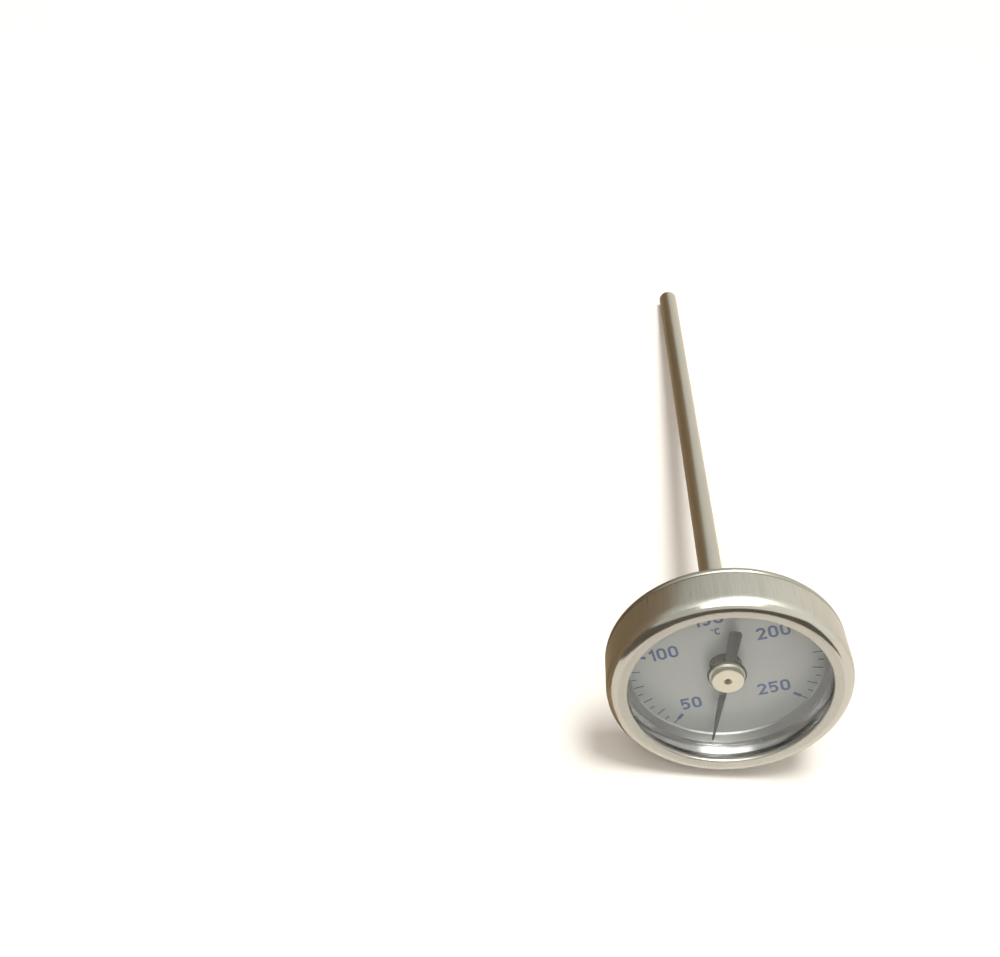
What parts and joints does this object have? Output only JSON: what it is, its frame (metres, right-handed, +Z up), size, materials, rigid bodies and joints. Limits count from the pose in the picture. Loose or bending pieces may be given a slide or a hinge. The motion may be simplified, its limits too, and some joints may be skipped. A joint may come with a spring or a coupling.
{
  "type": "bimetal dial thermometer",
  "caption": "Round dial thermometer with a satin metal case, a flat window, a needle pointer with a paddle tail and a long straight axial probe stem.",
  "frame": {"origin": "centre of the bounding box, at the level of the surface that the thermometer lies on", "axes": "+Y horizontal, from the dial towards the stem's tip; +Z up; +X to the right of someone facing the dial. The thermometer's own axis slopes down 7.64 degrees towards the tip, because it lies on its rear rim and its tip"},
  "size_m": [0.0564, 0.202, 0.0571],
  "materials": {
    "satin_bezel": "satin, brushed along the axis on the barrel",
    "drawn_cup": "satin",
    "stem_steel": "fine ground",
    "black_seal": "matt",
    "window_glass": "clear polished",
    "satin_aluminium": "satin",
    "dial_silver": "matt light grey with blue print",
    "bearing_brass": "turned",
    "bimetal_strip": "rolled",
    "hub_nickel": "turned, satin",
    "blade_grey": "matt dark grey"
  },
  "bodies": {
    "case": {"bezel": "satin_bezel", "window_gasket": "black_seal", "window": "window_glass", "spacer_ring": "satin_aluminium", "dial_plate": "dial_silver", "dial_seat_ring": "satin_aluminium", "case_cup": "drawn_cup", "bush_lock_washer": "stem_steel", "stem_bush": "stem_steel", "stem_tube": "stem_steel", "tip_plug": "stem_steel", "front_bearing": "bearing_brass", "guide_bush_upper": "bearing_brass", "guide_bush_lower": "bearing_brass", "bimetal_helix": "bimetal_strip", "helix_anchor": "stem_steel"},
    "pointer_and_spindle": {"pointer_blade": "blade_grey", "pointer_hub": "hub_nickel", "spindle": "stem_steel", "spindle_collar": "stem_steel", "helix_carrier": "stem_steel"}
  },
  "joints": [
    {"name": "pointer_turn", "type": "hinge", "parent": "case", "child": "pointer_and_spindle", "pos_m": [0, -0.09118, 0.02863], "axis": [0, 0.9911, -0.1329], "range_deg": [-40, 300], "stiffness_Nm_per_rad": 0.0005, "deforming": ["bimetal_helix"]}
  ]
}
